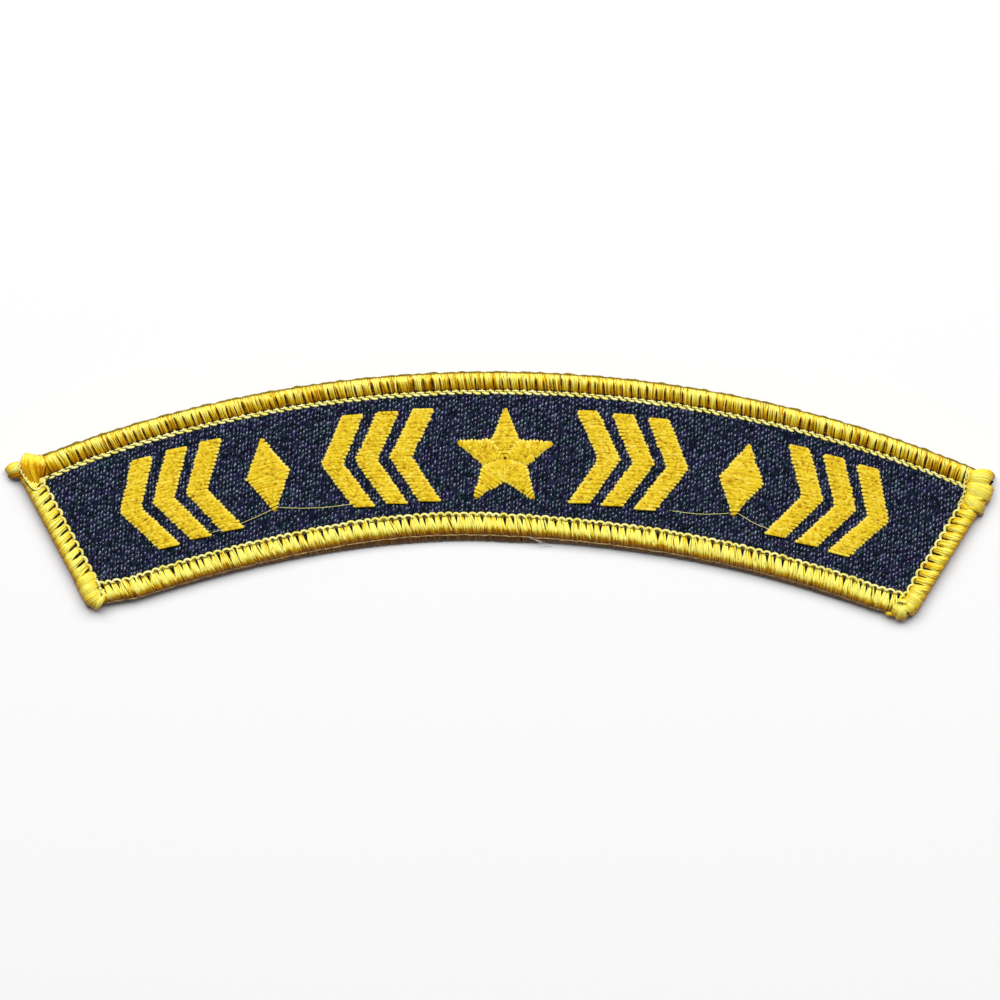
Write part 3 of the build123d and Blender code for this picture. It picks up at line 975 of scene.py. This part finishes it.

# Olive thread laid in creases and gaps at the corners; its dark lines paint the shade there: distance in,
# distance up, height
cornerShadeLines = {
    "topLeft": (
        (
            (0.85, -1.15, 2.0), (0.7, -1.9, 1.95), (0.75, -2.6, 2.1), (0.85, -3.3, 2.3), (1.1, -4.1, 2.35),
            (1.7, -4.6, 2.2),
        ),
        ((3.0, -3.9, 1.9), (3.5, -3.7, 1.85), (4.1, -3.4, 1.8)),
    ),
    "topRight": (
        ((4.15, -1.7, 2.2), (4.05, -2.1, 2.25), (4.0, -2.4, 2.1)),
        ((1.3, -3.85, 2.15), (0.8, -3.7, 2.2), (0.2, -3.55, 1.7)),
        ((1.2, -5.6, 2.1), (0.6, -5.5, 2.0), (0.1, -5.4, 1.5)),
    ),
    "bottomRight": (
        ((3.1, 1.35, 2.2), (2.8, 1.6, 2.4), (2.5, 1.7, 2.45), (2.3, 1.6, 2.3)),
        ((2.9, 2.2, 2.1), (2.75, 2.45, 2.3), (2.6, 2.5, 2.2)),
    ),
    "bottomLeft": (
        ((2.6, 2.15, 2.3), (2.55, 1.95, 2.4), (2.45, 1.8, 2.3)),
        ((2.75, 3.15, 2.2), (2.6, 2.9, 2.4), (2.35, 2.85, 2.35)),
    ),
}


def curlStrand(corner, pitch, rows):
    # A thread that loops along the rows like a row of small curls
    line = np.array(smoothRows(rows, 8))
    gone = np.concatenate([[0], np.cumsum(np.hypot(*np.diff(line[:, :2], axis=0).T))])
    alongCurl, acrossCurl, rise = chain["curl"]
    step = 0.05
    points = []
    for far in np.arange(0, gone[-1], step):
        away, up, height = (float(np.interp(far, gone, line[:, axis])) for axis in range(3))
        ahead = [float(np.interp(far + step, gone, line[:, axis])) for axis in (0, 1)]
        behind = [float(np.interp(far - step, gone, line[:, axis])) for axis in (0, 1)]
        way = wayAt(corner, behind, ahead)
        turn = 2 * pi * far / pitch
        spot = atCorner(corner, away, up)
        spot += way * (-alongCurl * sin(turn)) + leftOf(way) * (acrossCurl * cos(turn))
        points.append((*spot, height + rise * sin(turn)))
    return points, tapered(points), 0.6


order = ("top", "topRight", "right", "bottomRight", "bottom", "bottomLeft", "left", "topLeft")
ring = {name: runStitches(name) if name in runs else cornerStitches(name) for name in order}
owners = {
    "border_top": ("topLeft", "top"),
    "border_right": ("topRight", "right", "bottomRight"),
    "border_bottom": ("bottom",),
    "border_left": ("bottomLeft", "left"),
}
for node, parts in owners.items():
    run = [part for part in parts if part in runs][0]
    stitches = [stitch for part in parts for stitch in ring[part]]
    strands = []
    for part in parts:
        for number, stitch in enumerate(ring[part]):
            if part in runs:
                strands += stitchStrands(stitch, part, tight=part == "top" and number < edge["firstTight"])
            else:
                strands += stitchStrands(stitch, run, edge["cornerLowered"])
        for rows in bunches.get(part, ()):
            strands += bunchStrands(part, rows)
    pairs = list(zip(stitches, stitches[1:]))
    loops = [loopStrand(a, b, run, 1.0, 0.0, 0.0) for a, b in pairs]
    under = chain["underSize"], chain["underDrop"], chain["underTone"][run]
    underLoops = [loopStrand(a, b, run, *under) for a, b in pairs]
    ties = [tieStrand(stitch) for stitch in stitches if run == "top"]
    curls = [curlStrand(part, *curl) for part in parts for curl in cornerChains.get(part, ())]
    shadeCords = [coreCord(stitches, *cord) for cord in core["shadeCords"][run]]
    bundle = joinMeshes(
        node + "_bundles",
        [strandMesh("strands", strands, edge["strandRadius"]), strandMesh("shadeCords", shadeCords, core["radius"])],
    )
    chainParts = (
        (loops, chain["loopRadius"][run]),
        (underLoops, chain["underRadius"][run]),
        (ties, chain["tieRadius"]),
        (curls, chain["curlRadius"]),
    )
    chainMeshes = [strandMesh("chain", lines, radius) for lines, radius in chainParts if lines]
    looperMesh = joinMeshes(node + "_chain", chainMeshes)
    merrow = link(node.replace("border", "merrow"), bundle, borderThread)
    looper = link(node.replace("border", "looper"), looperMesh, loopThread)
    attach(merrow, "root")
    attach(looper, "root")
    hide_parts(node)
    counts = [countTriangles(mesh) for mesh in (bundle, looperMesh)]
    print(node, "stitches", len(stitches), "triangles", counts)

for run, (inset, low, wobble, radius, material) in edgeThreads.items():
    mesh = strandMesh(run + "_edge_thread", [edgeThread(run, inset, low, wobble)], radius)
    piece = link(run + "_edge_thread", mesh, material)
    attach(piece, "root")


# The needle thread is drawn as a thin dark line across the tips of the bottom run, standing in for the
# shade between the loops and the stitches' tips
needleInset, needleHeight = chain["needle"]
points = []
for stitch in ring["bottom"]:
    tip, inward = tipOf(stitch)
    spot = tip - inward * (needleInset + rng.uniform(-0.03, 0.03))
    points.append((*spot, needleHeight + rng.uniform(-0.02, 0.02)))
needleLines = [(points, tapered(points), 0.3)]
for corner, shadeLines in cornerShadeLines.items():
    for rows in shadeLines:
        points = [(*atCorner(corner, away, up), height) for away, up, height in smoothRows(rows, 4)]
        needleLines.append((points, tapered(points, middle=1.5), 0.1))
needle = link("needle_thread", strandMesh("needle_thread", needleLines, chain["needleRadius"]), oliveThread)
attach(needle, "root")


# Two hairs that stand out of the bottom run: places in mm
hairs = {
    "radius": 0.026,
    "rows": (
        ((3.7, -5.65, 1.25), (4.3, -5.85, 1.2), (5.2, -6.15, 1.0), (6.1, -6.5, 0.5), (6.7, -6.85, 0.12)),
        ((4.6, -5.95, 1.15), (5.1, -6.25, 0.95), (5.6, -6.55, 0.6), (6.1, -6.7, 0.3), (6.6, -6.72, 0.12)),
    ),
}
hairLines = [smoothRows(rows, 4) for rows in hairs["rows"]]
hairStrands = [(points, tapered(points), 0.9) for points in hairLines]
hair = link("loose_fibre", strandMesh("loose_fibre", hairStrands, hairs["radius"], 0), bareFibre)
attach(hair, "root")


# The twill: a flat sheet and the warp threads that stand out of it
def bandSheet(name, inset, low, high):
    bm = bmesh.new()
    inner, outer = bottomRadius + inset, band["topRadius"] - inset
    # a little past both ends, which are cut off below
    spread = band["endAngle"] + 3
    first = [bm.verts.new((*(onArc(r, -spread)), low)) for r in (inner, outer)]
    row = [bm.edges.new(first)]
    bmesh.ops.spin(
        bm,
        geom=first + row,
        cent=(arcCentre.x, arcCentre.y, low),
        axis=(0, 0, 1),
        angle=-radians(2 * spread),
        steps=96,
        use_merge=False,
    )
    # the inner arc becomes the patch's own lower edge
    for vertex in bm.verts:
        spot = vertex.co.xy
        if (spot - arcCentre).length < middleRadius:
            angle = angleOf(spot)
            vertex.co.xy = onArc(bottomLine(angle) + inset, angle)
    for side in ("left", "right"):
        middle, inward, _ = endFrame(side)
        spot = middle + inward * inset
        bmesh.ops.bisect_plane(
            bm,
            geom=bm.verts[:] + bm.edges[:] + bm.faces[:],
            plane_co=(spot.x, spot.y, 0),
            plane_no=(-inward.x, -inward.y, 0),
            clear_outer=True,
        )
    grown = bmesh.ops.extrude_face_region(bm, geom=bm.faces[:])
    lifted = [g for g in grown["geom"] if isinstance(g, bmesh.types.BMVert)]
    bmesh.ops.translate(bm, verts=lifted, vec=(0, 0, high - low))
    bmesh.ops.scale(bm, vec=(mm, mm, mm), verts=bm.verts)
    bmesh.ops.recalc_face_normals(bm, faces=bm.faces)
    mesh = bpy.data.meshes.new(name)
    bm.to_mesh(mesh)
    bm.free()
    return mesh


def warpStrands(start, stop):
    # Warp threads from x = start to stop; each float leans a little, so some catch the light
    look = twillLook
    strands = []
    inset, (patchWide, patchTall) = look["inset"], look["patch"]
    slope = tan(radians(look["lean"]))
    ends = [endFrame(side) for side in ("left", "right")]
    for column in range(ceil(start / look["pitch"]), ceil(stop / look["pitch"])):
        x0 = column * look["pitch"]
        drift, phase = 0.0, column % 3 / 3 + rng.uniform(-0.12, 0.12)
        points, factors, tones = [], [], []
        for row in range(*look["rows"]):
            y0 = (row + phase) * look["repeat"] + rng.uniform(-1, 1) * look["scatter"]
            drift = 0.9 * (drift + rng.uniform(-0.04, 0.04))
            patchy = noise.noise(Vector((x0 / patchWide, y0 / patchTall, 3.0))) * look["patchy"]
            lift = rng.uniform(-1, 1) * look["uneven"]
            leaning = (rng.gauss(0, 1.0) + patchy) * look["uneven"]
            tone, size = rng.random(), rng.uniform(0.65, 1.15)
            for away, height in look["float"]:
                spot = Vector((x0 + y0 * slope + drift + look["sway"] * away, y0 + away))
                radius = (spot - arcCentre).length
                if not bottomLine(angleOf(spot)) + inset < radius < band["topRadius"] - inset:
                    continue
                if any((spot - middle).dot(inward) < inset for middle, inward, _ in ends):
                    continue
                tip = leaning * (away - 0.07) / 0.2
                points.append((*spot, band["clothHigh"] + height + lift - tip))
                factors.append(size)
                tones.append(tone)
        if len(points) < 8:
            continue
        factors[0] = factors[-1] = 0.05
        strands.append((points, factors, tones))
    return strands


sheetMesh = bandSheet("twill", band["edgeWrap"], band["clothLow"], band["clothHigh"])
sheet = link("twill_ground", sheetMesh, weftCloth)
clothEnds = [corner[0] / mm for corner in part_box("ground_cloth")]
warps = []
for name, start, stop in (("left", clothEnds[0] - 2, 0), ("right", 0, clothEnds[1] + 2)):
    warpMesh = strandMesh("warp_" + name, warpStrands(start, stop), twillLook["warpRadius"], 0)
    flattenMesh(warpMesh, band["clothHigh"], twillLook["flatten"])
    warps.append(link("twill_warp_" + name, warpMesh, warpFilament))
    print("warp", name, "triangles", countTriangles(warpMesh))
for piece in (sheet, *warps):
    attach(piece, "root")
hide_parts("ground_cloth")


# The satin stitched ornaments
satin = {
    "radius": 150.55,
    "low": 1.5,
    "crown": 1.84,
    "pitch": 0.22,
    "threadRadius": 0.21,
    "flatten": 0.25,
    "jag": 0.1,
    "dips": 0.75,
    "tall": 11.8,
    "stroke": 2.3,
    "point": 3.4,
    "lozengeWidth": 5.6,
    "lozengeInset": 1.2,
    "starRatio": 0.45,
    # how far each end of a thread strays along and across, and its crown in height
    "stray": (0.06, 0.02, 0.015),
    # how a thread rises at its ends: longest rise in mm, the same as a share of a short one,
    # and rows of share of that rise, height and tone. The pale tone where it bends down is a painted
    # highlight
    "rise": (0.42, 0.3),
    "rising": ((0, -0.1, 2.4), (0.25, 0.55, 2.4), (0.6, 0.75, 1.8)),
    # threads longer than this vary in tone and may have a needle hole's short dip, painted dark as its
    # shade
    "long": 1.6,
    "dipShade": -3.0,
}


def satinThreads(pairs):
    # pairs are the two ends of each thread, in mm on the cloth
    strayAlong, strayAcross, strayUp = satin["stray"]
    longest, riseShare = satin["rise"]
    strands = []
    for number, (start, stop) in enumerate(pairs):
        way = (stop - start).normalized()
        across = leftOf(way)
        # every other thread reaches further out, which makes the teeth along the sides
        reach = satin["jag"] * (1 if number % 2 else -0.5)
        start = start - way * (reach + rng.gauss(0, strayAlong)) + across * rng.gauss(0, strayAcross)
        stop = stop + way * (reach + rng.gauss(0, strayAlong)) + across * rng.gauss(0, strayAcross)
        length = (stop - start).length
        crown = satin["crown"] - 0.25 * max(0, 1.2 - length) + rng.uniform(-strayUp, strayUp)
        rise = min(longest, length * riseShare) / max(length, 0.01)
        tone = 0.3 + 0.4 * rng.random()
        # the pale end tones are a painted highlight
        rising = [(rise * share, height, shade) for share, height, shade in satin["rising"]]
        rising.append((rise, 0.88, tone))
        inside = [(0.5, 1.0, tone)]
        if length > satin["long"]:
            inside = []
            for k in range(8):
                height = 1 + rng.uniform(-0.03, 0.03)
                inside.append((0.22 + 0.08 * k, height, tone + max(-1.9, min(0.2, rng.gauss(-0.1, 1.0)))))
            if rng.random() < satin["dips"]:
                dip = rng.uniform(rise + 0.1, 0.9 - rise)
                half = rng.uniform(0.08, 0.14) / length
                inside = [row for row in inside if abs(row[0] - dip) > 1.5 * half]
                inside += [(dip - half, 0.98, tone), (dip + half, 0.98, tone)]
                # painted shade at the bottom of the dip
                inside.append((dip, 0.8, tone + satin["dipShade"]))
        falling = [(1 - share, height, shade) for share, height, shade in reversed(rising)]
        points, tones = [], []
        for share, height, shade in (*rising, *sorted(inside), *falling):
            # heights are drawn out here, because the mesh is pressed flat afterwards
            z = satin["low"] + (crown - satin["low"]) * height / satin["flatten"]
            points.append((*start.lerp(stop, share), z))
            tones.append(shade)
        strands.append((points, tapered(points, 0.05), tones))
    return strands


def ornamentFrame(node):
    # The middle of a node's ornament on the row's arc, its way along and its way up
    low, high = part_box(node)
    x = (low[0] + high[0]) / 2 / mm
    y = (low[1] + high[1]) / 2 / mm
    up = (Vector((x, y)) - arcCentre).normalized()
    return arcCentre + up * satin["radius"], -leftOf(up), up


def threadHeights(half):
    # Heights of an ornament's threads, from its top to its foot
    count = round(2 * half / satin["pitch"])
    return [half - (k + 0.5) * 2 * half / count for k in range(count)]


def chevronPairs(node, way):
    middle, along, up = ornamentFrame(node)
    half = satin["tall"] / 2
    across = satin["stroke"] * sqrt(1 + (satin["point"] / half) ** 2)
    length = across + satin["point"]
    pairs = []
    for k, y in enumerate(threadHeights(half)):
        back = -length / 2 + satin["point"] * (1 - abs(y) / half)
        tilt = 0.22 * (1 if k % 2 else 0.7)
        start = middle + along * (way * back) + up * (y - tilt / 2)
        stop = middle + along * (way * (back + across)) + up * (y + tilt / 2)
        pairs.append((start, stop))
    return pairs


def lozengePairs(node):
    middle, along, up = ornamentFrame(node)
    half = satin["tall"] / 2 - satin["lozengeInset"]
    pairs = []
    for y in threadHeights(half):
        reach = satin["lozengeWidth"] / 2 * (1 - abs(y) / half)
        pairs.append((middle - along * reach + up * (y - 0.1), middle + along * reach + up * (y + 0.1)))
    return pairs


def starPairs(node):
    radius = satin["tall"] / (1 + cos(radians(36)))
    middle = Vector((arcCentre.x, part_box(node)[1][1] / mm - radius))
    notch = radius * satin["starRatio"]
    notchAlong, notchAcross = notch * cos(radians(36)), notch * sin(radians(36))
    count = round(radius / satin["pitch"])
    pairs = []
    for arm in range(5):
        turn = radians(72 * arm)
        axis = Vector((sin(turn), cos(turn)))
        side = -leftOf(axis)
        for k in range(count):
            r = radius - (k + 0.35) * radius / count
            if r > notchAlong:
                reach = notchAcross * (radius - r) / (radius - notchAlong)
            else:
                reach = notchAcross * r / notchAlong
            if reach < 0.12:
                continue
            start = middle + axis * (r - 0.06) - side * reach
            stop = middle + axis * (r + 0.06) + side * reach
            pairs.append((start, stop))
    return pairs


ornaments = {"star": starPairs("star")}
for side, way in (("left", -1), ("right", 1)):
    ornaments[f"lozenge_{side}"] = lozengePairs(f"lozenge_{side}")
    for number in range(1, 7):
        node = f"chevron_{side}_{number}"
        ornaments[node] = chevronPairs(node, way)
for node, pairs in ornaments.items():
    mesh = strandMesh(node + "_satin", satinThreads(pairs), satin["threadRadius"])
    flattenMesh(mesh, satin["low"], satin["flatten"])
    piece = link("satin_" + node, mesh, satinThread)
    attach(piece, "root")
    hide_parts(node)
print("satin ornaments made", len(ornaments))

# Thin threads that the needle carried from one ornament to the next
jumps = {
    "radius": 0.035,
    "height": 1.74,
    "sag": 0.35,
    # from one ornament to the next, and how low on each
    "between": (
        ("chevron_left_3", "lozenge_left", -5.4, -4.2),
        ("lozenge_left", "chevron_left_4", -4.3, -5.6),
        ("chevron_right_3", "lozenge_right", -5.5, -4.3),
        ("lozenge_right", "chevron_right_4", -4.1, -5.3),
    ),
}
jumpStrands = []
for first, second, lowFirst, lowSecond in jumps["between"]:
    places = []
    for node, low, way in ((first, lowFirst, 1), (second, lowSecond, -1)):
        middle, along, up = ornamentFrame(node)
        width = (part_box(node)[1][0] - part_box(node)[0][0]) / mm
        # how far out from the ornament's middle, as a share of its width
        share = 0.03 if "lozenge" in node else 0.2
        places.append(middle + up * low + along * (way * width * share))
    points = []
    for i in range(13):
        spot = places[0].lerp(places[1], i / 12)
        sag = rng.uniform(-0.03, 0.03) - jumps["sag"] * sin(pi * i / 12)
        points.append((spot.x, spot.y + sag, jumps["height"] + rng.uniform(-0.02, 0.02)))
    jumpStrands.append((points, tapered(points), rng.uniform(0.2, 0.6)))
jumpThread = link("jump_threads", strandMesh("jump_threads", jumpStrands, jumps["radius"], 0), loopThread)
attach(jumpThread, "root")


# Floor, light and camera
studio = {
    # millimetres to a pixel of the photo, its turn in degrees and what it looks at, in mm
    "photoScale": 0.12867,
    "tilt": 0.65,
    "target": (-0.081, -0.864),
    "lens": 200,
    "sensor": 36,
    # the height in mm that lies in the picture's scale
    "level": 1.5,
    "floorColour": "#F4F4F4",
    "floorSize": 3.0,
    "skyColour": (0.95, 0.97, 1.0, 1),
    "skyStrength": 0.1,
    # the light strip's width and depth, place in metres and power
    "stripSize": (2.25, 1.0),
    "stripPlace": (0.0, 0.875, 1.3),
    "stripPower": 40,
}
# Matt paper: it has no shine, so it shows nothing but soft shadows
floorMaterial, _, floorShader = newMaterial("pale paper")
floorShader.inputs["Base Color"].default_value = hexColour(studio["floorColour"])
floorShader.inputs["Roughness"].default_value = 0.9
bm = bmesh.new()
bmesh.ops.create_grid(bm, x_segments=1, y_segments=1, size=studio["floorSize"])
floorMesh = bpy.data.meshes.new("floor")
bm.to_mesh(floorMesh)
bm.free()
floor = link("floor", floorMesh, floorMaterial)

world = bpy.data.worlds.new("studio")
bpy.context.scene.world = world
world.use_nodes = True
sky = world.node_tree.nodes["Background"]
sky.inputs[0].default_value = studio["skyColour"]
sky.inputs[1].default_value = studio["skyStrength"]

strip = bpy.data.lights.new("strip", "AREA")
strip.shape = "RECTANGLE"
strip.size, strip.size_y = studio["stripSize"]
strip.energy = studio["stripPower"]
stripLight = bpy.data.objects.new("strip", strip)
stripLight.location = studio["stripPlace"]
stripLight.rotation_euler = (Vector((0, 0, 0)) - stripLight.location).to_track_quat("-Z", "Y").to_euler()
bpy.context.scene.collection.objects.link(stripLight)

eye = bpy.data.cameras.new("scanner")
eye.lens = studio["lens"]
eye.sensor_width = studio["sensor"]
camera = bpy.data.objects.new("scanner", eye)
# so far away that the picture's 1000 pixels span the photo's width
reach = studio["photoScale"] * 1000 * mm * studio["lens"] / eye.sensor_width
x, y = studio["target"]
camera.location = (x * mm, y * mm, reach + studio["level"] * mm)
camera.rotation_euler = (0, 0, radians(studio["tilt"]))
bpy.context.scene.collection.objects.link(camera)
bpy.context.scene.camera = camera
bpy.context.scene.view_settings.view_transform = "Standard"
print("studio made")
